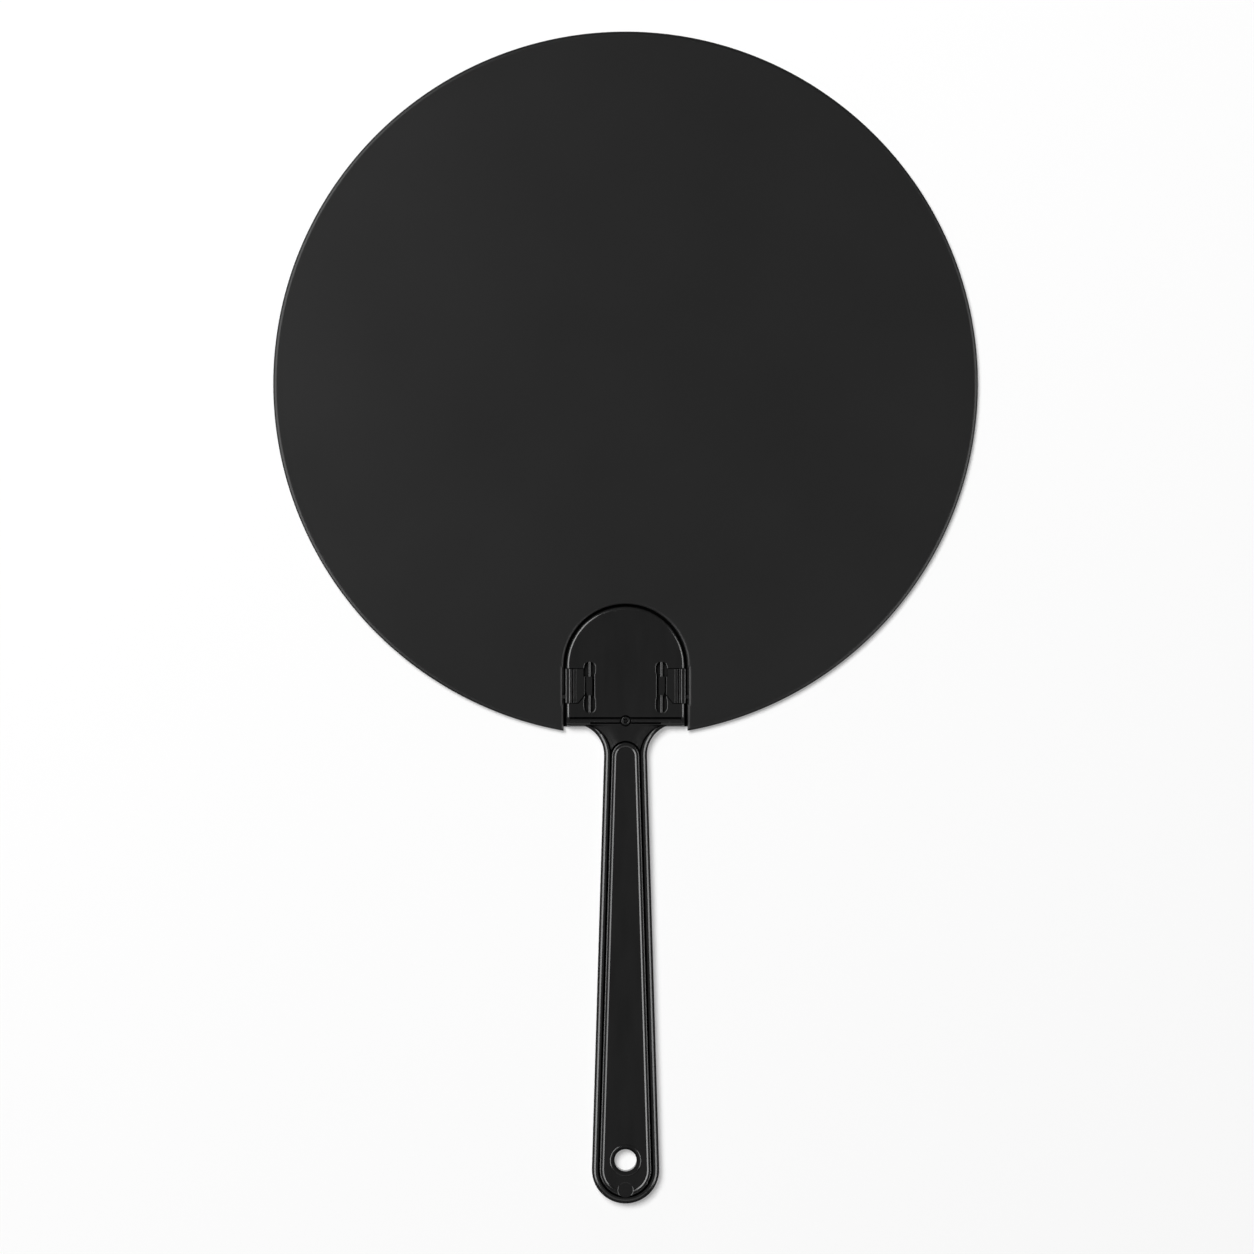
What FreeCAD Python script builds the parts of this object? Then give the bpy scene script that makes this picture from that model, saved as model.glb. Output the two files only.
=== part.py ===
import FreeCAD, Part
import math
import os
import types

import Sketcher

# A round hand fan: a stiff sheet with an arched notch, clipped into the head of a moulded handle.
# The fan lies on its back: X runs across it, +Y from the grip to the sheet, +Z out of its front.
# The origin is on the surface it lies on, at the middle of its length and width.

SIZES = {
    # whole fan and its sheet
    "overall_length": 398.8,
    "disc_diameter": 240.0,
    "sheet_thickness": 0.8,
    "sheet_edge_break": 0.3,
    # notch in the sheet and the two tabs left standing in it
    "notch_gap": 1.1,
    "notch_bay_depth": 0.4,
    "tab_neck_length": 1.2,
    "tab_neck_rise": 2.1,
    "tab_head_length": 15.0,
    "tab_head_width": 3.6,
    "tab_edge_inset": 2.0,
    "tab_thickness": 0.4,
    "peg_radius": 1.0,
    "peg_gap": 0.15,
    "peg_height": 0.7,
    # head of the handle
    "head_depth": 24.0,
    "cover_radius": 20.0,
    "cover_straight": 17.4,
    "cover_thickness": 1.6,
    "cover_round": 1.4,
    "cover_edge_trim": 0.4,
    "seat_gap": 0.1,
    "back_thickness": 2.0,
    "back_margin": 5.0,
    "back_round": 0.8,
    "channel_margin": 0.3,
    "channel_depth": 1.3,
    # hinge between the cover and the head
    "barrel_radius": 1.5,
    "barrel_gap": 0.25,
    "ear_width": 1.05,
    "ear_gap": 0.15,
    "hinge_pin_radius": 0.5,
    "running_gap": 0.05,
    "press_gap": 0.02,
    "boss_radius": 1.4,
    "boss_gap": 0.55,
    "boss_offset": 0.5,
    "boss_rise": 0.1,
    "boss_round": 0.14,
    "boss_groove_depth": 0.75,
    "boss_dimple_radius": 0.8,
    "boss_dimple_depth": 0.7,
    # clasps
    "clasp_drop": 1.0,
    "clasp_length": 11.6,
    "clasp_proud": 0.5,
    "clasp_thickness": 1.25,
    "clasp_sink": 0.1,
    "clasp_gap": 0.25,
    "clasp_corner_width": 2.9,
    "clasp_corner_length": 3.6,
    "clasp_flat_width": 4.5,
    "clasp_flat_depth": 0.3,
    "clasp_groove_inset": 2.8,
    "clasp_groove_width": 0.5,
    "clasp_groove_depth": 0.9,
    "clasp_step_width": 1.1,
    "clasp_step_depth": 0.65,
    "clasp_round": 0.12,
    "clasp_nose_round": 0.45,
    "clasp_ridge_round": 0.6,
    "clasp_pin_inset": 7.8,
    "clasp_pin_radius": 0.55,
    "clasp_pin_anchor": 1.0,
    "knuckle_radius": 1.15,
    "knuckle_crown": 0.85,
    "knuckle_sink": 0.2,
    "knuckle_drop": 3.6,
    "knuckle_length": 6.4,
    "slot_width": 3.1,
    "window_width": 3.7,
    "window_upper_length": 5.0,
    "window_lower_length": 5.9,
    "window_round": 0.3,
    # neck and grip
    "neck_width": 14.6,
    "neck_drop": 10.1,
    "neck_round": 10.6,
    "neck_web_height": 4.3,
    "web_slope_height": 0.6,
    "web_slope_width": 3.4,
    "web_crown_round": 12.0,
    "neck_groove_width": 0.5,
    "neck_groove_height": 2.6,
    "neck_crease_width": 0.65,
    "neck_crease_depth": 0.75,
    "grip_end_radius": 11.45,
    "rim_width": 2.0,
    "rim_height": 4.7,
    "rim_lap": 0.4,
    "rim_slope_height": 0.8,
    "rim_slope_width": 1.05,
    "rim_round": 1.8,
    "floor_height": 1.6,
    "floor_thickness": 1.2,
    # grip panels and hanging eyelet
    "panel_gap": 0.6,
    "panel_thickness": 1.4,
    "bead_width": 1.5,
    "bead_height": 0.5,
    "bead_round": 0.45,
    "bead_slope_height": 0.17,
    "bead_slope_width": 0.45,
    "back_panel_thickness": 1.1,
    "back_panel_round": 0.4,
    "hole_radius": 3.75,
    "hole_inset": 14.7,
    "eyelet_wall": 0.75,
    "eyelet_flange_width": 0.75,
    "eyelet_round": 0.45,
    "eyelet_slope_height": 0.06,
    "eyelet_slope_width": 0.16,
    "eyelet_sink_depth": 0.8,
    "eyelet_sink_width": 0.8,
    "mark_radius": 2.55,
    "mark_slope_width": 0.12,
    "mark_gap": 0.05,
    "mark_drop": 0.05,
    # how far a cut runs past the face it leaves
    "overrun": 1.0,
}

TOLERANCE = 1e-4
HALF_TURN = 180
UP = FreeCAD.Vector(0, 0, 1)


class Size:
    """A length that carries its number and the sheet expression that it follows."""

    def __init__(self, number, text):
        self.number = number
        self.text = text

    def joined(self, other, sign, number):
        return Size(number, f"({self.text} {sign} {other.text})")

    def __add__(self, other):
        other = as_size(other)
        return self.joined(other, "+", self.number + other.number)

    def __sub__(self, other):
        other = as_size(other)
        return self.joined(other, "-", self.number - other.number)

    def __mul__(self, other):
        other = as_size(other)
        return self.joined(other, "*", self.number * other.number)

    def __truediv__(self, other):
        other = as_size(other)
        return self.joined(other, "/", self.number / other.number)

    def __neg__(self):
        return as_size(0) - self

    def __rsub__(self, other):
        return as_size(other) - self

    __radd__ = __add__
    __rmul__ = __mul__


def as_size(value):
    return value if isinstance(value, Size) else Size(value, str(value))


def root(size):
    return Size(math.sqrt(size.number), f"sqrt({size.text})")


def arc_tangent(size):
    return Size(math.degrees(math.atan(size.number)), f"atan({size.text})")


doc = FreeCAD.newDocument("RoundFan")
sheet = doc.addObject("Spreadsheet::Sheet", "Sizes")
for row, (alias, value) in enumerate(SIZES.items(), start=1):
    sheet.set(f"A{row}", alias)
    sheet.set(f"B{row}", str(value))
    sheet.setAlias(f"B{row}", alias)
doc.recompute()
dim = types.SimpleNamespace(**{alias: Size(value, f"Sizes.{alias}") for alias, value in SIZES.items()})

# Places along the fan
disc_radius = dim.disc_diameter / 2
disc_y = dim.overall_length / 2 - disc_radius
arch_y = disc_y - disc_radius + dim.head_depth
cover_low_y = arch_y - dim.cover_straight
hinge_y = cover_low_y - dim.barrel_gap - dim.barrel_radius
head_low_y = hinge_y - dim.barrel_radius
grip_end_y = -dim.overall_length / 2
hole_y = grip_end_y + dim.hole_inset

# Levels above the surface that the fan lies on
sheet_top = dim.back_thickness + dim.sheet_thickness
cover_low = sheet_top + dim.seat_gap
cover_top = cover_low + dim.cover_thickness
hinge_z = cover_top - dim.barrel_radius
floor_top = dim.floor_height + dim.floor_thickness
panel_top = floor_top + dim.panel_thickness
bead_top = panel_top + dim.bead_height
clasp_pin_z = cover_top - dim.knuckle_sink - dim.knuckle_crown
clasp_top = cover_top - dim.clasp_sink
clasp_low = clasp_top - dim.clasp_thickness

# Places across the head
notch_radius = dim.cover_radius + dim.notch_gap
bay_x = notch_radius + dim.notch_bay_depth
back_radius = notch_radius + dim.back_margin
barrel_half = dim.cover_radius - dim.ear_width - dim.ear_gap
clasp_high_y = arch_y - dim.clasp_drop
clasp_low_y = clasp_high_y - dim.clasp_length
clasp_mid_y = clasp_high_y - dim.clasp_length / 2
knuckle_high_y = arch_y - dim.knuckle_drop
knuckle_low_y = knuckle_high_y - dim.knuckle_length
pin_x = dim.cover_radius - dim.clasp_pin_inset
nose_x = dim.cover_radius + dim.clasp_proud
window_high_y = knuckle_high_y + dim.window_upper_length
window_low_y = knuckle_low_y - dim.window_lower_length
pin_high_y = window_high_y + dim.clasp_pin_anchor
pin_low_y = window_low_y - dim.clasp_pin_anchor
tab_outer_x = dim.cover_radius - dim.tab_edge_inset
tab_inner_x = tab_outer_x - dim.tab_head_width
peg_x = tab_outer_x - dim.tab_head_width / 2

# The grip tapers between two circles on its centre line, and its sides touch both
end_y = grip_end_y + dim.grip_end_radius
neck_y = head_low_y - dim.neck_drop
taper_sine = (dim.grip_end_radius - dim.neck_width / 2) / (neck_y - end_y)
taper_cosine = root(1 - taper_sine * taper_sine)
rim_high_y = head_low_y + dim.rim_lap


def bind(thing, prop, size):
    thing.setExpression(prop, as_size(size).text)


def pin(sketch, edge, end, axis, place):
    """Fix one coordinate of a sketch point, measured from the sketch's origin."""
    place = as_size(place)
    if abs(place.number) < TOLERANCE:
        sketch.addConstraint(Sketcher.Constraint("PointOnObject", edge, end, -2 if axis == 0 else -1))
        return
    kind = ("DistanceX", "DistanceY")[axis]
    number = sketch.addConstraint(Sketcher.Constraint(kind, -1, 1, edge, end, place.number))
    bind(sketch, f"Constraints[{number}]", place)


def angle_from(centre, point):
    return math.atan2(point[1].number - centre[1].number, point[0].number - centre[0].number)


def outline(sketch, points, arcs=None):
    """Draw a closed outline; arcs gives, by edge number, an arc's centre and 1 for anticlockwise or -1."""
    arcs = arcs or {}
    points = [tuple(as_size(value) for value in point) for point in points]
    count = len(points)
    edges = []
    for number, start in enumerate(points):
        finish = points[(number + 1) % count]
        vectors = [FreeCAD.Vector(point[0].number, point[1].number, 0) for point in (start, finish)]
        if number not in arcs:
            edges.append((sketch.addGeometry(Part.LineSegment(*vectors), False), 1, 2))
            continue
        centre, turn = arcs[number]
        centre = tuple(as_size(value) for value in centre)
        middle = FreeCAD.Vector(centre[0].number, centre[1].number, 0)
        round_edge = Part.Circle(middle, UP, middle.distanceToPoint(vectors[0]))
        first, last = (start, finish) if turn > 0 else (finish, start)
        low = angle_from(centre, first)
        high = angle_from(centre, last)
        high += 0 if high > low else math.tau
        ends = (1, 2) if turn > 0 else (2, 1)
        edges.append((sketch.addGeometry(Part.ArcOfCircle(round_edge, low, high), False), *ends))
    for number, (edge, _, end) in enumerate(edges):
        after, start, _ = edges[(number + 1) % count]
        sketch.addConstraint(Sketcher.Constraint("Coincident", edge, end, after, start))
    fixed = set()
    for number, (centre, _) in arcs.items():
        edge, start, end = edges[number]
        for axis in (0, 1):
            pin(sketch, edge, 3, axis, centre[axis])
        if number not in fixed:
            for axis in (0, 1):
                pin(sketch, edge, start, axis, points[number][axis])
        after = (number + 1) % count
        if after not in fixed:
            turned = angle_from(tuple(as_size(value) for value in centre), points[after])
            axis = 0 if abs(math.sin(turned)) > abs(math.cos(turned)) else 1
            pin(sketch, edge, end, axis, points[after][axis])
        fixed |= {number, after}
    for number, (edge, start, _) in enumerate(edges):
        if number not in fixed:
            for axis in (0, 1):
                pin(sketch, edge, start, axis, points[number][axis])


def circle(sketch, x, y, radius):
    x, y = as_size(x), as_size(y)
    middle = FreeCAD.Vector(x.number, y.number, 0)
    edge = sketch.addGeometry(Part.Circle(middle, UP, radius.number), False)
    pin(sketch, edge, 3, 0, x)
    pin(sketch, edge, 3, 1, y)
    number = sketch.addConstraint(Sketcher.Constraint("Radius", edge, radius.number))
    bind(sketch, f"Constraints[{number}]", radius)


def rectangle(sketch, x_low, x_high, y_low, y_high):
    outline(sketch, [(x_low, y_low), (x_high, y_low), (x_high, y_high), (x_low, y_high)])


def oval(sketch, x, y_low, y_high, width):
    """A slot along Y with round ends."""
    half = width / 2
    low = y_low + half
    high = y_high - half
    points = [(x - half, low), (x + half, low), (x + half, high), (x - half, high)]
    outline(sketch, points, {0: ((x, low), 1), 2: ((x, high), 1)})


def arch(sketch, radius, y_low):
    """A half circle on the head's arch centre with straight sides down to y_low."""
    points = [(-radius, y_low), (radius, y_low), (radius, arch_y), (-radius, arch_y)]
    outline(sketch, points, {2: ((0, arch_y), 1)})


def tapered_slot(sketch, inset):
    """The grip's outline set in, closed at the top by the arch of the panel."""
    high = dim.neck_width / 2 - inset
    low = dim.grip_end_radius - inset
    points = [
        (low * taper_cosine, end_y + low * taper_sine),
        (high * taper_cosine, neck_y + high * taper_sine),
        (-high * taper_cosine, neck_y + high * taper_sine),
        (-low * taper_cosine, end_y + low * taper_sine),
    ]
    outline(sketch, points, {1: ((0, neck_y), 1), 3: ((0, end_y), 1)})


def neck_side(inset, y_high):
    """Where a side of the neck, moved in by inset, leaves the grip's taper and where it reaches y_high."""
    touch = dim.neck_width / 2 - inset
    centre_x = (touch + dim.neck_round) * taper_cosine
    centre_y = neck_y + (touch + dim.neck_round) * taper_sine
    rise = y_high - centre_y
    high_x = centre_x - root(dim.neck_round * dim.neck_round - rise * rise)
    return (touch * taper_cosine, neck_y + touch * taper_sine), (high_x, y_high), (centre_x, centre_y)


def plane(body, role):
    return next(part for part in body.Origin.OriginFeatures if part.Role == role)


def new_body(label):
    body = doc.addObject("PartDesign::Body", label)
    body.Label = label
    return body


def new_sketch(body, offset, role="XY_Plane"):
    sketch = body.newObject("Sketcher::SketchObject", f"{body.Name}_sketch")
    sketch.AttachmentSupport = [(plane(body, role), "")]
    sketch.MapMode = "FlatFace"
    bind(sketch, "AttachmentOffset.Base.z", offset)
    return sketch


def grown(body, kind, sketch, length, reverse=False):
    """Pad or pocket a sketch, and stop if that leaves the body's volume as it was."""
    before = body.Shape.Volume if body.Tip else 0
    feature = body.newObject(f"PartDesign::{kind}", f"{body.Name}_{kind.lower()}")
    feature.Profile = sketch
    feature.Reversed = reverse
    bind(feature, "Length", length)
    doc.recompute()
    change = body.Shape.Volume - before
    if change * (1 if kind == "Pad" else -1) <= 0:
        failed = [thing.Label for thing in doc.Objects if not thing.isValid()]
        raise RuntimeError(f"{feature.Label} changes the volume by {change}, failed: {failed}")
    return feature


def turned(body, sketch):
    """Cut a sketch's outline half way round the sketch's upright axis, over the head."""
    before = body.Shape.Volume
    feature = body.newObject("PartDesign::Groove", f"{body.Name}_groove")
    feature.Profile = sketch
    feature.ReferenceAxis = (sketch, ["V_Axis"])
    feature.Angle = HALF_TURN
    doc.recompute()
    if body.Shape.Volume >= before:
        raise RuntimeError(f"{feature.Label} cuts nothing")


def dressed(body, kind, prop, size, wanted):
    """Round or break the edges of the body's last feature that wanted picks."""
    base = body.Tip
    names = [f"Edge{number}" for number, edge in enumerate(base.Shape.Edges, 1) if wanted(edge)]
    feature = body.newObject(f"PartDesign::{kind}", f"{body.Name}_{kind.lower()}")
    feature.Base = (base, names)
    bind(feature, prop, size)
    doc.recompute()
    if not feature.isValid():
        raise RuntimeError(f"{feature.Label} failed on {names}: {feature.getStatusString()}")


def rounded(body, radius, wanted):
    dressed(body, "Fillet", "Radius", radius, wanted)


def broken(body, size, wanted):
    dressed(body, "Chamfer", "Size", size, wanted)


def sloped(body, first, second, wanted):
    """Break edges by a slope that takes one length off an edge's first face and another off its second."""
    broken(body, first, wanted)
    body.Tip.ChamferType = "Two distances"
    bind(body.Tip, "Size2", second)
    doc.recompute()


def crowned(body, top, height, width, radius):
    """Slope a top face's long edges down to their sides, and round the crests of the slopes."""
    def crest(edge):
        return level(edge, top) and runs_along(edge)

    sloped(body, height, width, crest)
    rounded(body, radius, crest)


def around_hole(body, edge, top):
    """True for an edge of the body's top face that isn't on its outside."""
    face = next(face for face in body.Tip.Shape.Faces if level(face, top))
    return level(edge, top) and not any(edge.isSame(side) for side in face.OuterWire.Edges)


def level(form, height):
    """True where an edge or a face lies flat at a height."""
    box = form.BoundBox
    return abs(box.ZMin - height.number) < TOLERANCE and abs(box.ZMax - height.number) < TOLERANCE


def is_disc_edge(edge):
    return isinstance(edge.Curve, Part.Circle) and abs(edge.Curve.Radius - disc_radius.number) < TOLERANCE


def is_window_lip(edge):
    """True for an edge of the cover's front that lies within the width of a window."""
    box = edge.BoundBox
    reach = dim.window_width.number / 2 + TOLERANCE
    return level(edge, cover_top) and max(abs(abs(x) - pin_x.number) for x in (box.XMin, box.XMax)) < reach


def make_fan_sheet():
    body = new_body("fan_sheet")
    sketch = new_sketch(body, dim.back_thickness)
    circle(sketch, 0, disc_y, disc_radius)
    grown(body, "Pad", sketch, dim.sheet_thickness)
    # the notch has a shallow bay beside each clasp, and runs round two tabs, each a neck with a wider head
    notch_low = disc_y - disc_radius - dim.overrun
    bay_low_y = clasp_low_y - dim.clasp_gap
    bay_high_y = clasp_high_y + dim.clasp_gap
    neck_low_y = clasp_low_y + dim.tab_neck_rise - dim.tab_neck_length / 2
    neck_high_y = neck_low_y + dim.tab_neck_length
    head = dim.tab_head_length / 2
    side = [
        (notch_radius, notch_low),
        (notch_radius, bay_low_y),
        (bay_x, bay_low_y),
        (bay_x, neck_low_y),
        (tab_outer_x, neck_low_y),
        (tab_outer_x, clasp_mid_y - head),
        (tab_inner_x, clasp_mid_y - head),
        (tab_inner_x, clasp_mid_y + head),
        (tab_outer_x, clasp_mid_y + head),
        (tab_outer_x, neck_high_y),
        (bay_x, neck_high_y),
        (bay_x, bay_high_y),
        (notch_radius, bay_high_y),
        (notch_radius, arch_y),
    ]
    other_side = [(-x, y) for x, y in reversed(side)]
    sketch = new_sketch(body, sheet_top)
    outline(sketch, side + other_side, {len(side) - 1: ((0, arch_y), 1)})
    grown(body, "Pocket", sketch, dim.sheet_thickness + dim.overrun)
    # the tabs are pressed thinner than the sheet, and each has a hole for its peg
    sketch = new_sketch(body, sheet_top)
    for x_low, x_high in ((tab_inner_x, bay_x), (-bay_x, -tab_inner_x)):
        rectangle(sketch, x_low, x_high, clasp_mid_y - head, clasp_mid_y + head)
    grown(body, "Pocket", sketch, dim.sheet_thickness - dim.tab_thickness)
    sketch = new_sketch(body, sheet_top)
    for x in (peg_x, -peg_x):
        circle(sketch, x, clasp_mid_y, dim.peg_radius + dim.peg_gap)
    grown(body, "Pocket", sketch, dim.sheet_thickness + dim.overrun)
    broken(body, dim.sheet_edge_break, is_disc_edge)
    return body


def neck_outline(sketch, inset, y_high):
    """The neck between its two arcs, moved in by inset, from the grip's taper up to y_high."""
    low, high, centre = neck_side(inset, y_high)
    points = [low, high, (-high[0], high[1]), (-low[0], low[1])]
    outline(sketch, points, {0: (centre, -1), 2: ((-centre[0], centre[1]), -1)})


def make_handle():
    body = new_body("handle")
    # back plate behind the sheet
    sketch = new_sketch(body, 0)
    arch(sketch, back_radius, head_low_y)
    grown(body, "Pad", sketch, dim.back_thickness)
    # neck and grip
    low, high, centre = neck_side(as_size(0), rim_high_y)
    end_x = dim.grip_end_radius * taper_cosine
    end_high_y = end_y + dim.grip_end_radius * taper_sine
    side = [(end_x, end_high_y), low, high]
    other_side = [(-x, y) for x, y in reversed(side)]
    rounds = {1: (centre, -1), 3: ((-centre[0], centre[1]), -1), 5: ((0, end_y), 1)}
    sketch = new_sketch(body, 0)
    outline(sketch, side + other_side, rounds)
    grown(body, "Pad", sketch, dim.rim_height)
    rounded(body, dim.back_round, lambda edge: level(edge, as_size(0)))
    crowned(body, dim.rim_height, dim.rim_slope_height, dim.rim_slope_width, dim.rim_round)
    # the neck is sunk between its rims, and a web with rounded sides stands in it
    sketch = new_sketch(body, dim.rim_height)
    neck_outline(sketch, dim.rim_width, rim_high_y)
    grown(body, "Pocket", sketch, dim.rim_height - dim.neck_groove_height)
    sketch = new_sketch(body, dim.neck_groove_height)
    neck_outline(sketch, dim.rim_width + dim.neck_groove_width, rim_high_y)
    grown(body, "Pad", sketch, dim.neck_web_height - dim.neck_groove_height)
    crowned(body, dim.neck_web_height, dim.web_slope_height, dim.web_slope_width, dim.web_crown_round)
    # the middle of the web runs on under the barrel
    web_x = neck_side(dim.rim_width + dim.neck_groove_width, rim_high_y)[1][0]
    web_flat_x = web_x - dim.web_slope_width
    sketch = new_sketch(body, dim.neck_groove_height)
    rectangle(sketch, -web_flat_x, web_flat_x, rim_high_y, hinge_y)
    grown(body, "Pad", sketch, dim.neck_web_height - dim.neck_groove_height)
    # a V channel in the back plate under the gap round the cover, round its arch and down both sides
    outer = notch_radius + dim.channel_margin
    inner = dim.cover_radius - dim.channel_margin
    channel = [
        (inner, dim.back_thickness),
        ((inner + outer) / 2, dim.back_thickness - dim.channel_depth),
        (outer, dim.back_thickness),
    ]
    sketch = new_sketch(body, -arch_y, "XZ_Plane")
    outline(sketch, channel)
    turned(body, sketch)
    sketch = new_sketch(body, -arch_y, "XZ_Plane")
    outline(sketch, channel)
    outline(sketch, [(-x, z) for x, z in channel])
    grown(body, "Pocket", sketch, arch_y - head_low_y + dim.overrun, reverse=True)
    # recesses for the grip's two panels, with a floor between them
    sketch = new_sketch(body, dim.rim_height)
    tapered_slot(sketch, dim.rim_width)
    grown(body, "Pocket", sketch, dim.rim_height - floor_top)
    sketch = new_sketch(body, dim.floor_height)
    tapered_slot(sketch, dim.rim_width)
    grown(body, "Pocket", sketch, dim.floor_height + dim.overrun)
    sketch = new_sketch(body, floor_top)
    circle(sketch, 0, hole_y, dim.hole_radius + dim.eyelet_wall + dim.press_gap)
    grown(body, "Pocket", sketch, dim.floor_thickness + dim.overrun)
    # hinge barrel along the foot of the head, with room for the cover's ears beyond its ends
    sketch = new_sketch(body, -barrel_half, "YZ_Plane")
    circle(sketch, hinge_y, hinge_z, dim.barrel_radius)
    grown(body, "Pad", sketch, barrel_half * 2)
    for x in (dim.cover_radius + dim.ear_gap, -barrel_half):
        sketch = new_sketch(body, x, "YZ_Plane")
        circle(sketch, hinge_y, hinge_z, dim.barrel_radius + dim.ear_gap)
        grown(body, "Pocket", sketch, dim.ear_width + dim.ear_gap * 2)
    # a crease across the neck parts its web from the barrel
    crease_low = dim.neck_web_height - dim.neck_crease_depth
    sketch = new_sketch(body, cover_top)
    rectangle(sketch, -web_x, web_x, hinge_y - dim.neck_crease_width, hinge_y)
    grown(body, "Pocket", sketch, cover_top - crease_low)
    # gate boss on the barrel, in a round groove, with a dimple in its top
    boss_top = cover_top + dim.boss_rise
    groove_low = cover_top - dim.boss_groove_depth
    sketch = new_sketch(body, boss_top)
    circle(sketch, 0, hinge_y + dim.boss_offset, dim.boss_radius + dim.boss_gap)
    grown(body, "Pocket", sketch, boss_top - groove_low)
    sketch = new_sketch(body, dim.back_thickness)
    circle(sketch, 0, hinge_y + dim.boss_offset, dim.boss_radius)
    grown(body, "Pad", sketch, boss_top - dim.back_thickness)
    sketch = new_sketch(body, boss_top)
    circle(sketch, 0, hinge_y + dim.boss_offset, dim.boss_dimple_radius)
    grown(body, "Pocket", sketch, dim.boss_dimple_depth)
    rounded(body, dim.boss_round, lambda edge: level(edge, boss_top))
    sketch = new_sketch(body, barrel_half, "YZ_Plane")
    circle(sketch, hinge_y, hinge_z, dim.hinge_pin_radius + dim.press_gap)
    grown(body, "Pocket", sketch, barrel_half * 2)
    # pegs that the sheet's tabs drop over
    sketch = new_sketch(body, dim.back_thickness)
    for x in (peg_x, -peg_x):
        circle(sketch, x, clasp_mid_y, dim.peg_radius)
    grown(body, "Pad", sketch, dim.peg_height)
    return body


def make_front_cover():
    body = new_body("front_cover")
    # the plate's edge is rounded, and the steep foot of the rounding is trimmed off
    full_radius = dim.cover_radius + dim.cover_edge_trim
    sketch = new_sketch(body, cover_low)
    arch(sketch, full_radius, cover_low_y)
    grown(body, "Pad", sketch, dim.cover_thickness)
    rounded(body, dim.cover_round, lambda edge: level(edge, cover_top) and runs_along(edge))
    sketch = new_sketch(body, cover_top)
    arch(sketch, dim.cover_radius, cover_low_y - dim.overrun)
    arch(sketch, full_radius + dim.overrun, cover_low_y - dim.overrun * 2)
    grown(body, "Pocket", sketch, dim.cover_thickness + dim.overrun)
    # an open-sided pocket for each clasp
    gap = dim.clasp_gap
    open_x = dim.cover_radius + dim.overrun
    corner_x = pin_x + dim.knuckle_radius - gap
    corner_y = clasp_low_y + dim.clasp_corner_length - gap
    side = [
        (open_x, clasp_low_y - gap),
        (open_x, clasp_high_y + gap),
        (pin_x, clasp_high_y + gap),
        (pin_x, corner_y),
        (corner_x, corner_y),
        (corner_x + dim.clasp_corner_width, clasp_low_y - gap),
    ]
    sketch = new_sketch(body, cover_top)
    outline(sketch, side)
    outline(sketch, [(-x, y) for x, y in side])
    grown(body, "Pocket", sketch, dim.cover_thickness + dim.overrun)
    # a slot for each knuckle, and a window at both its ends where the pin shows
    sketch = new_sketch(body, cover_top)
    half = dim.slot_width / 2
    slot_low_y = knuckle_low_y - dim.knuckle_radius
    slot_high_y = knuckle_high_y + dim.knuckle_radius
    for x in (pin_x, -pin_x):
        rectangle(sketch, x - half, x + half, slot_low_y, slot_high_y)
    grown(body, "Pocket", sketch, dim.cover_thickness + dim.overrun)
    sketch = new_sketch(body, cover_top)
    for x in (pin_x, -pin_x):
        oval(sketch, x, knuckle_high_y, window_high_y, dim.window_width)
        oval(sketch, x, window_low_y, knuckle_low_y, dim.window_width)
    grown(body, "Pocket", sketch, dim.cover_thickness + dim.overrun)
    rounded(body, dim.window_round, is_window_lip)
    sketch = new_sketch(body, -pin_low_y, "XZ_Plane")
    for x in (pin_x, -pin_x):
        circle(sketch, x, clasp_pin_z, dim.clasp_pin_radius + dim.press_gap)
    grown(body, "Pocket", sketch, pin_high_y - pin_low_y)
    # a bay round the boss
    sketch = new_sketch(body, cover_top)
    circle(sketch, 0, hinge_y + dim.boss_offset, dim.boss_radius + dim.boss_gap)
    grown(body, "Pocket", sketch, dim.cover_thickness + dim.overrun)
    # two ears that turn on the hinge pin
    ear_radius = dim.barrel_radius - dim.ear_gap
    ear = [
        (hinge_y, hinge_z - ear_radius),
        (cover_low_y, cover_low),
        (cover_low_y + dim.ear_width, cover_low),
        (cover_low_y + dim.ear_width, hinge_z + ear_radius),
        (hinge_y, hinge_z + ear_radius),
    ]
    for x in (barrel_half + dim.ear_gap, -dim.cover_radius):
        sketch = new_sketch(body, x, "YZ_Plane")
        outline(sketch, ear, {4: ((hinge_y, hinge_z), 1)})
        grown(body, "Pad", sketch, dim.ear_width)
    sketch = new_sketch(body, dim.cover_radius, "YZ_Plane")
    circle(sketch, hinge_y, hinge_z, dim.hinge_pin_radius + dim.running_gap)
    grown(body, "Pocket", sketch, dim.cover_radius * 2)
    return body


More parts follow.
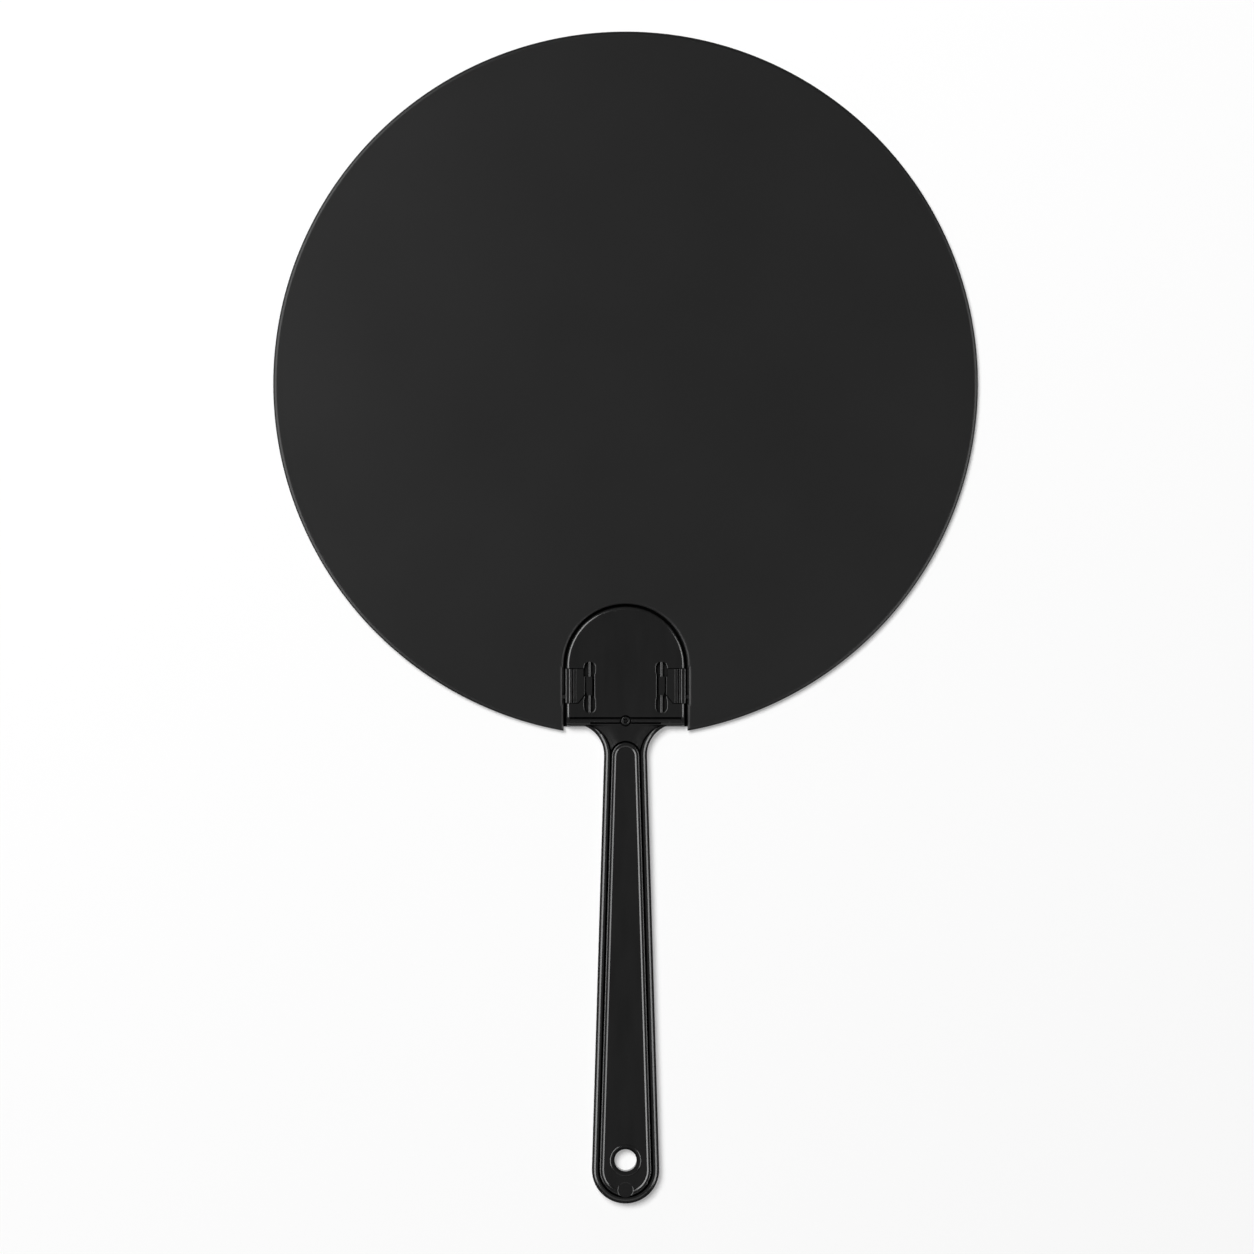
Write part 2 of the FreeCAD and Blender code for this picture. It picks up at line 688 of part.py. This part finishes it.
def make_right_clasp():
    body = new_body("right_clasp")
    inner_x = pin_x + dim.window_width / 2 + dim.clasp_gap
    corner_x = pin_x + dim.knuckle_radius
    corner_y = clasp_low_y + dim.clasp_corner_length
    points = [
        (nose_x, clasp_low_y),
        (nose_x, clasp_high_y),
        (inner_x, clasp_high_y),
        (inner_x, knuckle_high_y),
        (pin_x, knuckle_high_y),
        (pin_x, corner_y),
        (corner_x, corner_y),
        (corner_x + dim.clasp_corner_width, clasp_low_y),
    ]
    sketch = new_sketch(body, clasp_low)
    outline(sketch, points)
    grown(body, "Pad", sketch, dim.clasp_thickness)
    # a groove beside the knuckle, a lower flat, a second groove and a rounded step make the finger catch
    sketch = new_sketch(body, -clasp_low_y, "XZ_Plane")
    high = clasp_top + dim.overrun
    groove_x = nose_x - dim.clasp_groove_inset
    groove_low = clasp_top - dim.clasp_groove_depth
    flat_x = pin_x + dim.clasp_flat_width
    flat_low_x = corner_x + dim.clasp_groove_width
    flat_top = clasp_top - dim.clasp_flat_depth
    sunk = [
        (corner_x, groove_low),
        (flat_low_x, groove_low),
        (flat_low_x, flat_top),
        (flat_x, flat_top),
        (flat_x, high),
        (corner_x, high),
    ]
    outline(sketch, sunk)
    rectangle(sketch, groove_x, groove_x + dim.clasp_groove_width, groove_low, high)
    step_x = nose_x - dim.clasp_step_width
    rectangle(sketch, step_x, nose_x + dim.overrun, clasp_top - dim.clasp_step_depth, high)
    grown(body, "Pocket", sketch, dim.clasp_length)
    step_top = clasp_top - dim.clasp_step_depth

    def ridge(edge, height, *places):
        """True for an edge along the clasp at a height, beside one of the places across the clasp."""
        box = edge.BoundBox
        is_there = any(abs(box.XMin - x.number) < TOLERANCE for x in places)
        return is_there and runs_along(edge) and level(edge, height) and box.XLength < TOLERANCE

    groove_sides = (flat_x, groove_x, groove_x + dim.clasp_groove_width)
    rounded(body, dim.clasp_nose_round, lambda edge: ridge(edge, step_top, nose_x))
    rounded(body, dim.clasp_ridge_round, lambda edge: ridge(edge, clasp_top, step_x))
    rounded(body, dim.clasp_round, lambda edge: ridge(edge, clasp_top, *groove_sides))
    rounded(body, dim.clasp_round, lambda edge: ridge(edge, flat_top, flat_low_x))
    sketch = new_sketch(body, -knuckle_high_y, "XZ_Plane")
    circle(sketch, pin_x, clasp_pin_z, dim.knuckle_radius)
    grown(body, "Pad", sketch, dim.knuckle_length)
    # the knuckle's crown is flat
    sketch = new_sketch(body, -knuckle_low_y, "XZ_Plane")
    crown_z = clasp_pin_z + dim.knuckle_crown
    rectangle(sketch, pin_x - dim.knuckle_radius - dim.overrun, corner_x, crown_z, high)
    grown(body, "Pocket", sketch, dim.knuckle_length)
    sketch = new_sketch(body, -knuckle_low_y, "XZ_Plane")
    circle(sketch, pin_x, clasp_pin_z, dim.clasp_pin_radius + dim.running_gap)
    grown(body, "Pocket", sketch, dim.knuckle_length)
    return body


def make_mirrored(source, label):
    twin = doc.addObject("Part::Mirroring", label)
    twin.Source = source
    twin.Base = FreeCAD.Vector(0, 0, 0)
    twin.Normal = FreeCAD.Vector(1, 0, 0)
    return twin


def make_pin(label, radius, length, place, turn):
    """A round pin that starts at place, turned from Z about an axis by an angle in degrees."""
    rod = doc.addObject("Part::Cylinder", label)
    rod.Placement = FreeCAD.Placement(FreeCAD.Vector(), FreeCAD.Rotation(*turn))
    bind(rod, "Radius", radius)
    bind(rod, "Height", length)
    for axis, where in zip("xyz", place):
        bind(rod, f"Placement.Base.{axis}", where)
    return rod


def make_grip_panel():
    body = new_body("grip_panel")
    edge_inset = dim.rim_width + dim.panel_gap
    sketch = new_sketch(body, floor_top)
    tapered_slot(sketch, edge_inset)
    grown(body, "Pad", sketch, dim.panel_thickness + dim.bead_height)
    sketch = new_sketch(body, bead_top)
    tapered_slot(sketch, edge_inset + dim.bead_width)
    grown(body, "Pocket", sketch, dim.bead_height)
    sloped(
        body, dim.bead_slope_width, dim.bead_slope_height, lambda edge: around_hole(body, edge, bead_top)
    )
    rounded(
        body, dim.bead_round, lambda edge: level(edge, bead_top) and not around_hole(body, edge, bead_top)
    )
    # a round mark where the mould was filled breaks the bead, slopes down and reaches the rim
    mark_y = grip_end_y + dim.rim_width + dim.mark_gap + dim.mark_radius
    mark_top = panel_top - dim.mark_drop
    sketch = new_sketch(body, bead_top)
    circle(sketch, 0, mark_y, dim.mark_radius + dim.mark_slope_width)
    grown(body, "Pocket", sketch, dim.bead_height)
    sketch = new_sketch(body, panel_top)
    circle(sketch, 0, mark_y, dim.mark_radius + dim.mark_slope_width)
    slope = grown(body, "Pocket", sketch, dim.mark_drop)
    bind(slope, "TaperAngle", arc_tangent(-dim.mark_slope_width / dim.mark_drop))
    doc.recompute()
    sketch = new_sketch(body, floor_top)
    circle(sketch, 0, mark_y, dim.mark_radius)
    grown(body, "Pad", sketch, mark_top - floor_top)
    # the hole for the eyelet
    sketch = new_sketch(body, panel_top)
    circle(sketch, 0, hole_y, dim.hole_radius + dim.eyelet_wall + dim.press_gap)
    grown(body, "Pocket", sketch, dim.panel_thickness + dim.overrun)
    return body


def make_grip_back_panel():
    body = new_body("grip_back_panel")
    low = dim.floor_height - dim.back_panel_thickness
    sketch = new_sketch(body, low)
    tapered_slot(sketch, dim.rim_width + dim.panel_gap)
    grown(body, "Pad", sketch, dim.back_panel_thickness)
    rounded(body, dim.back_panel_round, lambda edge: level(edge, low))
    sketch = new_sketch(body, dim.floor_height)
    circle(sketch, 0, hole_y, dim.hole_radius + dim.eyelet_wall + dim.press_gap)
    grown(body, "Pocket", sketch, dim.back_panel_thickness + dim.overrun)
    return body


def make_hanging_eyelet():
    body = new_body("hanging_eyelet")
    tube_radius = dim.hole_radius + dim.eyelet_wall
    flange_radius = tube_radius + dim.eyelet_flange_width
    low_flange = dim.floor_height - dim.back_panel_thickness
    rings = [
        (as_size(0), bead_top, tube_radius),
        (as_size(0), low_flange, flange_radius),
        (panel_top, dim.bead_height, flange_radius),
    ]
    for low, length, radius in rings:
        sketch = new_sketch(body, low)
        circle(sketch, 0, hole_y, radius)
        circle(sketch, 0, hole_y, dim.hole_radius)
        grown(body, "Pad", sketch, length)
    rounded(body, dim.eyelet_round, lambda edge: level(edge, as_size(0)))
    # the front is sunk towards the hole, and slopes down to the panel
    sloped(
        body, dim.eyelet_sink_depth, dim.eyelet_sink_width, lambda edge: around_hole(body, edge, bead_top)
    )
    sloped(
        body, dim.eyelet_slope_width, dim.eyelet_slope_height,
        lambda edge: level(edge, bead_top) and not around_hole(body, edge, bead_top)
    )
    return body


def runs_along(edge):
    """True for an edge that leaves the line across the fan that it starts on."""
    return edge.BoundBox.YLength > TOLERANCE


along_x = (FreeCAD.Vector(0, 1, 0), 90)
along_y = (FreeCAD.Vector(1, 0, 0), -90)
right_clasp = make_right_clasp()
right_pin_place = (pin_x, pin_low_y, clasp_pin_z)
right_pin = make_pin(
    "right_clasp_pin", dim.clasp_pin_radius, pin_high_y - pin_low_y, right_pin_place, along_y
)
hinge_place = (-dim.cover_radius, hinge_y, hinge_z)
pieces = [
    make_fan_sheet(),
    make_handle(),
    make_front_cover(),
    make_pin("cover_hinge_pin", dim.hinge_pin_radius, dim.cover_radius * 2, hinge_place, along_x),
    right_clasp,
    make_mirrored(right_clasp, "left_clasp"),
    right_pin,
    make_mirrored(right_pin, "left_clasp_pin"),
    make_grip_panel(),
    make_grip_back_panel(),
    make_hanging_eyelet(),
]
doc.recompute()

for thing in doc.Objects:
    if "Invalid" in thing.State or "Error" in thing.State:
        raise RuntimeError(f"{thing.Label} failed: {thing.State}")
for piece in pieces:
    if piece.Shape.isNull() or not piece.Shape.isValid():
        raise RuntimeError(f"{piece.Label} has no valid shape")

os.makedirs("parts", exist_ok=True)
for piece in pieces:
    piece.Shape.exportStep(f"parts/{piece.Label}.step")
    print(piece.Label, len(piece.Shape.Solids), round(piece.Shape.Volume, 1))
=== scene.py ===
import math

import bpy
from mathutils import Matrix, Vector


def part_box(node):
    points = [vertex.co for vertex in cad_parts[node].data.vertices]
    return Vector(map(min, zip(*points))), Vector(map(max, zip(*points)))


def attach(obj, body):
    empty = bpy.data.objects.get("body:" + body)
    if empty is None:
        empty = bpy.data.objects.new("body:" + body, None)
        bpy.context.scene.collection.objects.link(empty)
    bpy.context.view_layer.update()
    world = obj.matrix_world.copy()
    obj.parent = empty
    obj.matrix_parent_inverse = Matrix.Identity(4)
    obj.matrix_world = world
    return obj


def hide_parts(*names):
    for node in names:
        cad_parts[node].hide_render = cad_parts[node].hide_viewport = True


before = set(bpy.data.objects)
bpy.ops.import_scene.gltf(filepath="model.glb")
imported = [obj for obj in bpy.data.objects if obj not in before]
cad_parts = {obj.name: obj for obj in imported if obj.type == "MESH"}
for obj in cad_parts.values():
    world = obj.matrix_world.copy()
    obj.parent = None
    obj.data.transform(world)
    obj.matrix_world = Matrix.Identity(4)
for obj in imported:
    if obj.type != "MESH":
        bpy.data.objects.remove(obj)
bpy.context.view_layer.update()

# The fan lies on its back: X runs across it, +Y from the grip to the sheet, +Z out of its front.
# Lengths are in metres.
MM = 0.001

# The sheet's notch, with a shallow bay beside each clasp
NOTCH_GAP = 1.1 * MM
BAY_DEPTH = 0.4 * MM
BAY_GAP = 0.25 * MM

# How far the tool that cuts the notch stands above the sheet, and past its lowest edge
CUTTER_HEIGHT = 1.1 * MM
CUTTER_OVERHANG = 15 * MM

# The thin tabs in the notch that drop over the handle's pegs, and the necks that hold them
TAB_THICKNESS = 0.4 * MM
TAB_LENGTH = 15 * MM
TAB_WIDTH = 3.6 * MM
TAB_INSET = 2 * MM
TAB_NECK_LENGTH = 1.2 * MM
TAB_NECK_RISE = 2.1 * MM
PEG_HOLE_RADIUS = 1.15 * MM

# The die rolls the sheet's front edge over along an arc that ends in a sharp lower edge,
# more gently in the notch
ROLL_RADIUS = 2.0 * MM
ROLL_TURN = math.radians(42)
NOTCH_ROLL_RADIUS = 1.8 * MM
NOTCH_ROLL_TURN = math.radians(36)

# How finely the sheet is drawn, and which of its faces count as level, flat or smooth
ROLL_STEPS = 8
SHEET_SIDES = 512
ARCH_SIDES = 192
PEG_HOLE_SIDES = 32
MERGE_DISTANCE = 0.001 * MM
LEVEL_NORMAL = 0.9
FLAT_ANGLE = math.radians(0.3)
SMOOTH_ANGLE = math.radians(25)

# The studio round the fan
FLOOR_SIZE = 12
FADE_START = 0.35
FADE_END = 1.2
WHITE_SHARE_NEAR = 0.34
WHITE_SHARE_FAR = 0.72
ROOM_LIGHT = 0.03
GLEAM_DISTANCE = 1.5


def linear(hex_colour):
    """An sRGB hex colour as the linear RGBA that a socket takes."""
    colour = []
    for place in (1, 3, 5):
        channel = int(hex_colour[place:place + 2], 16) / 255
        colour.append(channel / 12.92 if channel <= 0.04045 else ((channel + 0.055) / 1.055) ** 2.4)
    return colour + [1]


def new_material(name):
    material = bpy.data.materials.new(name)
    material.use_nodes = True
    material.node_tree.nodes.clear()
    return material


def add(tree, kind, settings=None, **inputs):
    """Add a node, set its properties and its inputs, and link each input that is given as a socket.

    An input goes by its name, or by its number after an underscore.
    """
    node = tree.nodes.new(kind)
    for name, value in (settings or {}).items():
        setattr(node, name, value)
    for name, value in inputs.items():
        socket = node.inputs[int(name[1:])] if name[1:].isdigit() else node.inputs[name.replace("_", " ")]
        if isinstance(value, bpy.types.NodeSocket):
            tree.links.new(value, socket)
        else:
            socket.default_value = value
    return node


def noise(tree, place, size, detail):
    """Noise from 0 to 1, in patches of about this size."""
    return add(tree, "ShaderNodeTexNoise", Vector=place, Scale=1 / size, Detail=detail).outputs["Fac"]


def between(tree, share, low, high):
    """A value that goes from low to high as the share goes from 0 to 1."""
    return add(tree, "ShaderNodeMapRange", Value=share, To_Min=low, To_Max=high).outputs["Result"]


def calendered_polypropylene():
    """Black polypropylene sheet off a calender: an even satin, faintly cloudy, with a fine grain."""
    material = new_material("calendered_polypropylene")
    tree = material.node_tree
    place = add(tree, "ShaderNodeTexCoord").outputs["Object"]
    # clouds from the rollers shift the roughness a little
    cloud = noise(tree, place, size=45 * MM, detail=2.0)
    roughness = between(tree, cloud, low=0.33, high=0.39)
    # the grain is drawn coarse, because the real one is too fine to show
    grain = noise(tree, place, size=1.2 * MM, detail=3.0)
    dents = add(tree, "ShaderNodeBump", Height=grain, Strength=0.04, Distance=0.1 * MM).outputs["Normal"]
    shader = add(
        tree, "ShaderNodeBsdfPrincipled", Base_Color=linear("#1A1A1A"), Roughness=roughness, IOR=1.49,
        Specular_IOR_Level=0.25, Normal=dents
    )
    add(tree, "ShaderNodeOutputMaterial", Surface=shader.outputs["BSDF"])
    return material


def moulded_abs():
    """Black ABS from a finely polished mould: rounded edges catch the lamps, and narrow gaps are painted
    black as shade.
    """
    material = new_material("moulded_abs")
    tree = material.node_tree
    place = add(tree, "ShaderNodeTexCoord").outputs["Object"]
    # clouds where the melt cooled at different rates shift the roughness a little
    cloud = noise(tree, place, size=14 * MM, detail=3.0)
    roughness = between(tree, cloud, low=0.17, high=0.22)
    # flow lines, five times as long as wide, where the melt ran along the fan, tint the skin a little
    run = add(tree, "ShaderNodeMapping", Vector=place, Scale=(1, 0.2, 1)).outputs["Vector"]
    lines = noise(tree, run, size=5 * MM, detail=3.0)
    # the colours go by number here, because this node has several inputs of one name
    skin = add(
        tree, "ShaderNodeMix", {"data_type": "RGBA"}, _0=lines, _6=linear("#161616"), _7=linear("#212121")
    ).outputs[2]
    polished = add(tree, "ShaderNodeBsdfPrincipled", Base_Color=skin, Roughness=roughness, IOR=1.53)
    # where ambient occlusion finds a place closed in, the skin is mixed towards a flat near-black: painted
    # shade in the narrow gaps
    painted_gap_shade = add(tree, "ShaderNodeBsdfDiffuse", Color=linear("#030303"))
    openness = add(tree, "ShaderNodeAmbientOcclusion", {"samples": 8}, Distance=1.6 * MM).outputs["AO"]
    share = add(tree, "ShaderNodeMapRange", Value=openness, From_Min=0.3, From_Max=0.75).outputs["Result"]
    # the occlusion share blends the polished skin into the painted gap shade
    both = add(
        tree, "ShaderNodeMixShader", _0=share, _1=painted_gap_shade.outputs["BSDF"], _2=polished.outputs["BSDF"]
    )
    add(tree, "ShaderNodeOutputMaterial", Surface=both.outputs["Shader"])
    return material


def drawn_acetal():
    """Black acetal rod, drawn through a die: slick, with an even, fine grain."""
    material = new_material("drawn_acetal")
    tree = material.node_tree
    place = add(tree, "ShaderNodeTexCoord").outputs["Object"]
    grain = noise(tree, place, size=0.5 * MM, detail=2.0)
    roughness = between(tree, grain, low=0.16, high=0.24)
    shader = add(
        tree, "ShaderNodeBsdfPrincipled", Base_Color=linear("#141414"), Roughness=roughness, IOR=1.48
    )
    add(tree, "ShaderNodeOutputMaterial", Surface=shader.outputs["BSDF"])
    return material


def pale_paper_sweep():
    """White seamless paper that takes the fan's shadow, and is more of a plain white away from the fan."""
    material = new_material("pale_paper_sweep")
    tree = material.node_tree
    # the plain white can be seen, straight or in a gloss, but casts no light on what is dull
    rays = add(tree, "ShaderNodeLightPath").outputs
    seen = rays["Is Camera Ray"]
    for kind in ("Is Glossy Ray", "Is Transmission Ray"):
        seen = add(tree, "ShaderNodeMath", {"operation": "MAXIMUM"}, _0=seen, _1=rays[kind]).outputs["Value"]
    plain = add(tree, "ShaderNodeEmission", Color=linear("#FFFFFF"), Strength=seen)
    paper = add(tree, "ShaderNodeBsdfDiffuse", Color=linear("#FAFAFA"))
    place = add(tree, "ShaderNodeTexCoord").outputs["Object"]
    away = add(tree, "ShaderNodeVectorMath", {"operation": "LENGTH"}, _0=place).outputs["Value"]
    share = add(
        tree, "ShaderNodeMapRange", Value=away, From_Min=FADE_START, From_Max=FADE_END,
        To_Min=WHITE_SHARE_NEAR, To_Max=WHITE_SHARE_FAR
    ).outputs["Result"]
    both = add(
        tree, "ShaderNodeMixShader", _0=share, _1=paper.outputs["BSDF"], _2=plain.outputs["Emission"]
    )
    add(tree, "ShaderNodeOutputMaterial", Surface=both.outputs["Shader"])
    return material


def finish_cad_nodes():
    finishes = {
        "sheet_plastic": calendered_polypropylene(),
        "handle_plastic": moulded_abs(),
        "pin_plastic": drawn_acetal(),
    }
    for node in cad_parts.values():
        for slot in node.material_slots:
            slot.material = finishes[slot.material.name.split(".")[0]]


def pick(piece):
    """Select this piece alone, and make it the active one."""
    bpy.ops.object.select_all(action="DESELECT")
    piece.select_set(True)
    bpy.context.view_layer.objects.active = piece


def add_block(low, high):
    """A box between two corners, to cut or join with."""
    bpy.ops.object.select_all(action="DESELECT")
    bpy.ops.mesh.primitive_cube_add(size=1, location=(low + high) / 2)
    block = bpy.context.object
    block.scale = high - low
    bpy.ops.object.transform_apply()
    return block


def add_disc(middle, radius, low, high, sides):
    """A round plate from one height to another."""
    bpy.ops.object.select_all(action="DESELECT")
    bpy.ops.mesh.primitive_cylinder_add(
        vertices=sides, radius=radius, depth=high - low, location=(middle.x, middle.y, (low + high) / 2)
    )
    bpy.ops.object.transform_apply()
    return bpy.context.object


def shape_with(piece, tool, operation):
    """Cut the tool out of the piece, or join it on; the tool is used up."""
    change = piece.modifiers.new("change", "BOOLEAN")
    change.object = tool
    change.operation = operation
    change.solver = "EXACT"
    pick(piece)
    bpy.ops.object.modifier_apply(modifier=change.name)
    bpy.data.objects.remove(tool)
    bpy.ops.object.mode_set(mode="EDIT")
    bpy.ops.mesh.select_all(action="SELECT")
    bpy.ops.mesh.remove_doubles(threshold=MERGE_DISTANCE)
    bpy.ops.object.mode_set(mode="OBJECT")


def select_faces(piece, wanted):
    """Enter edit mode on the piece with only the wanted faces selected."""
    pick(piece)
    bpy.ops.object.mode_set(mode="EDIT")
    bpy.ops.mesh.select_mode(type="FACE")
    bpy.ops.mesh.select_all(action="DESELECT")
    bpy.ops.object.mode_set(mode="OBJECT")
    for face in piece.data.polygons:
        face.select = wanted(face)
    bpy.ops.object.mode_set(mode="EDIT")


def step_along_roll(radius, turns):
    """Carry the selected face in and out in small steps, along an arc of this radius through these turns."""
    for turn, next_turn in zip(turns, turns[1:]):
        bpy.ops.mesh.inset(
            thickness=radius * abs(math.sin(next_turn) - math.sin(turn)),
            depth=radius * abs(math.cos(next_turn) - math.cos(turn)),
        )


def make_notch_cutter(low, high):
    """The notch's shape, flared at the front so that it leaves the notch's edge rolled over as well."""
    _, cover_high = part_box("front_cover")
    clasp_low, clasp_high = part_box("right_clasp")
    flare = NOTCH_ROLL_RADIUS * math.sin(NOTCH_ROLL_TURN)
    half_width = cover_high.x + NOTCH_GAP + flare
    arch_middle = Vector((0, cover_high.y - cover_high.x))
    top = high.z + CUTTER_HEIGHT
    cutter = add_disc(arch_middle, half_width, high.z, top, ARCH_SIDES)
    straight_low = Vector((-half_width, low.y - CUTTER_OVERHANG, high.z))
    straight_high = Vector((half_width, arch_middle.y, top))
    shape_with(cutter, add_block(straight_low, straight_high), "UNION")
    bay_low = Vector((-half_width - BAY_DEPTH, clasp_low.y - BAY_GAP - flare, high.z))
    bay_high = Vector((half_width + BAY_DEPTH, clasp_high.y + BAY_GAP + flare, top))
    shape_with(cutter, add_block(bay_low, bay_high), "UNION")
    # what lies in one plane becomes one face, whose edge can be carried along the roll
    select_faces(cutter, lambda face: True)
    bpy.ops.mesh.dissolve_limited(angle_limit=FLAT_ANGLE)
    bpy.ops.object.mode_set(mode="OBJECT")
    select_faces(cutter, lambda face: face.normal.z < -LEVEL_NORMAL)
    turns = [NOTCH_ROLL_TURN * step / ROLL_STEPS for step in range(ROLL_STEPS + 1)]
    step_along_roll(NOTCH_ROLL_RADIUS, turns)
    bpy.ops.mesh.extrude_region_move(TRANSFORM_OT_translate={"value": (0, 0, low.z - high.z)})
    bpy.ops.object.mode_set(mode="OBJECT")
    return cutter


def join_tabs(sheet, low, high):
    """Join a tab with its peg hole and its neck to each side of the notch."""
    _, cover_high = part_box("front_cover")
    clasp_low, clasp_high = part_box("right_clasp")
    bay_wall = cover_high.x + NOTCH_GAP + BAY_DEPTH
    tab_edge = cover_high.x - TAB_INSET
    middle_z = low.z + TAB_THICKNESS / 2
    half = Vector((TAB_WIDTH, TAB_LENGTH, TAB_THICKNESS)) / 2
    neck_half = Vector((bay_wall - tab_edge + TAB_INSET, TAB_NECK_LENGTH, TAB_THICKNESS)) / 2
    for side in (-1, 1):
        centre = Vector((side * (tab_edge - TAB_WIDTH / 2), (clasp_low.y + clasp_high.y) / 2, middle_z))
        neck_centre = Vector((side * (tab_edge + bay_wall) / 2, clasp_low.y + TAB_NECK_RISE, middle_z))
        tab = add_block(centre - half, centre + half)
        shape_with(tab, add_block(neck_centre - neck_half, neck_centre + neck_half), "UNION")
        peg_hole = add_disc(centre, PEG_HOLE_RADIUS, low.z - TAB_THICKNESS, high.z, PEG_HOLE_SIDES)
        shape_with(tab, peg_hole, "DIFFERENCE")
        shape_with(sheet, tab, "UNION")


def model_fan_sheet():
    """The sheet in the CAD node's size, with its front edges rolled over."""
    low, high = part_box("fan_sheet")
    radius = min(high.x, -low.x)
    wall_top = high.z - ROLL_RADIUS * (1 - math.cos(ROLL_TURN))
    sheet = add_disc(Vector((0, high.y - radius)), radius, low.z, wall_top, SHEET_SIDES)
    select_faces(sheet, lambda face: face.normal.z > LEVEL_NORMAL)
    turns = [ROLL_TURN * (1 - step / ROLL_STEPS) for step in range(ROLL_STEPS + 1)]
    step_along_roll(ROLL_RADIUS, turns)
    bpy.ops.object.mode_set(mode="OBJECT")
    shape_with(sheet, make_notch_cutter(low, high), "DIFFERENCE")
    join_tabs(sheet, low, high)
    pick(sheet)
    bpy.ops.object.shade_smooth_by_angle(angle=SMOOTH_ANGLE)
    # the wide face keeps its own normal where it meets the roll
    bpy.ops.object.modifier_add(type="WEIGHTED_NORMAL")
    sheet.modifiers[0].keep_sharp = True
    bpy.ops.object.modifier_apply(modifier=sheet.modifiers[0].name)
    sheet.name = "rolled_fan_sheet"
    sheet.data.materials.clear()
    sheet.data.materials.append(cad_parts["fan_sheet"].material_slots[0].material)
    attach(sheet, "handle")
    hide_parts("fan_sheet")


def lay_floor():
    bpy.ops.object.select_all(action="DESELECT")
    bpy.ops.mesh.primitive_plane_add(size=FLOOR_SIZE)
    floor = bpy.context.object
    floor.name = "floor"
    floor.data.materials.append(pale_paper_sweep())


def hang_softbox(name, azimuth, elevation, distance, width, height, radiance):
    """An area lamp that looks at the fan's middle; a radiance of 1 would look as bright as plain white."""
    lamp = bpy.data.lights.new(name, "AREA")
    lamp.shape = "RECTANGLE"
    lamp.size = width
    lamp.size_y = height
    lamp.energy = radiance * math.pi * width * height
    turn = math.radians(azimuth)
    rise = math.radians(elevation)
    away = Vector((math.cos(turn) * math.cos(rise), math.sin(turn) * math.cos(rise), math.sin(rise)))
    softbox = bpy.data.objects.new(name, lamp)
    softbox.location = away * distance
    softbox.rotation_euler = away.to_track_quat("Z", "Y").to_euler()
    bpy.context.scene.collection.objects.link(softbox)
    return softbox


def light_studio():
    world = bpy.data.worlds.new("studio")
    bpy.context.scene.world = world
    world.use_nodes = True
    world.node_tree.nodes.clear()
    room = add(world.node_tree, "ShaderNodeBackground", Color=linear("#FFFFFF"), Strength=ROOM_LIGHT)
    add(world.node_tree, "ShaderNodeOutputWorld", Surface=room.outputs["Background"])
    # the key gives the light and the shadow, and does not show in the gloss
    key = hang_softbox(
        "key_softbox", azimuth=128, elevation=64, distance=4.4, width=2.2, height=2.2, radiance=15
    )
    key.visible_glossy = False
    # the others only show as soft gleams, mostly on rounded edges
    for name, azimuth, elevation, width, height, radiance in (
        ("left_softbox", 172, 49, 2.1, 0.85, 6.8),
        ("right_softbox", 351, 45, 1.5, 0.75, 5.5),
        ("foot_softbox", 270, 44, 1.2, 0.8, 0.7),
    ):
        gleam = hang_softbox(name, azimuth, elevation, GLEAM_DISTANCE, width, height, radiance)
        gleam.visible_diffuse = False


def set_camera():
    # the photograph looks straight down; its middle is here on the fan, and it is this wide there
    middle = Vector((0.5 * MM, -3.35 * MM, 2.8 * MM))
    view_width = 426.8 * MM
    distance = 1.3
    lens = bpy.data.cameras.new("camera")
    lens.angle = 2 * math.atan(view_width / 2 / distance)
    camera = bpy.data.objects.new("camera", lens)
    camera.location = middle + Vector((0, 0, distance))
    bpy.context.scene.collection.objects.link(camera)
    bpy.context.scene.camera = camera


finish_cad_nodes()
model_fan_sheet()
lay_floor()
light_studio()
set_camera()
bpy.context.scene.view_settings.view_transform = "Standard"
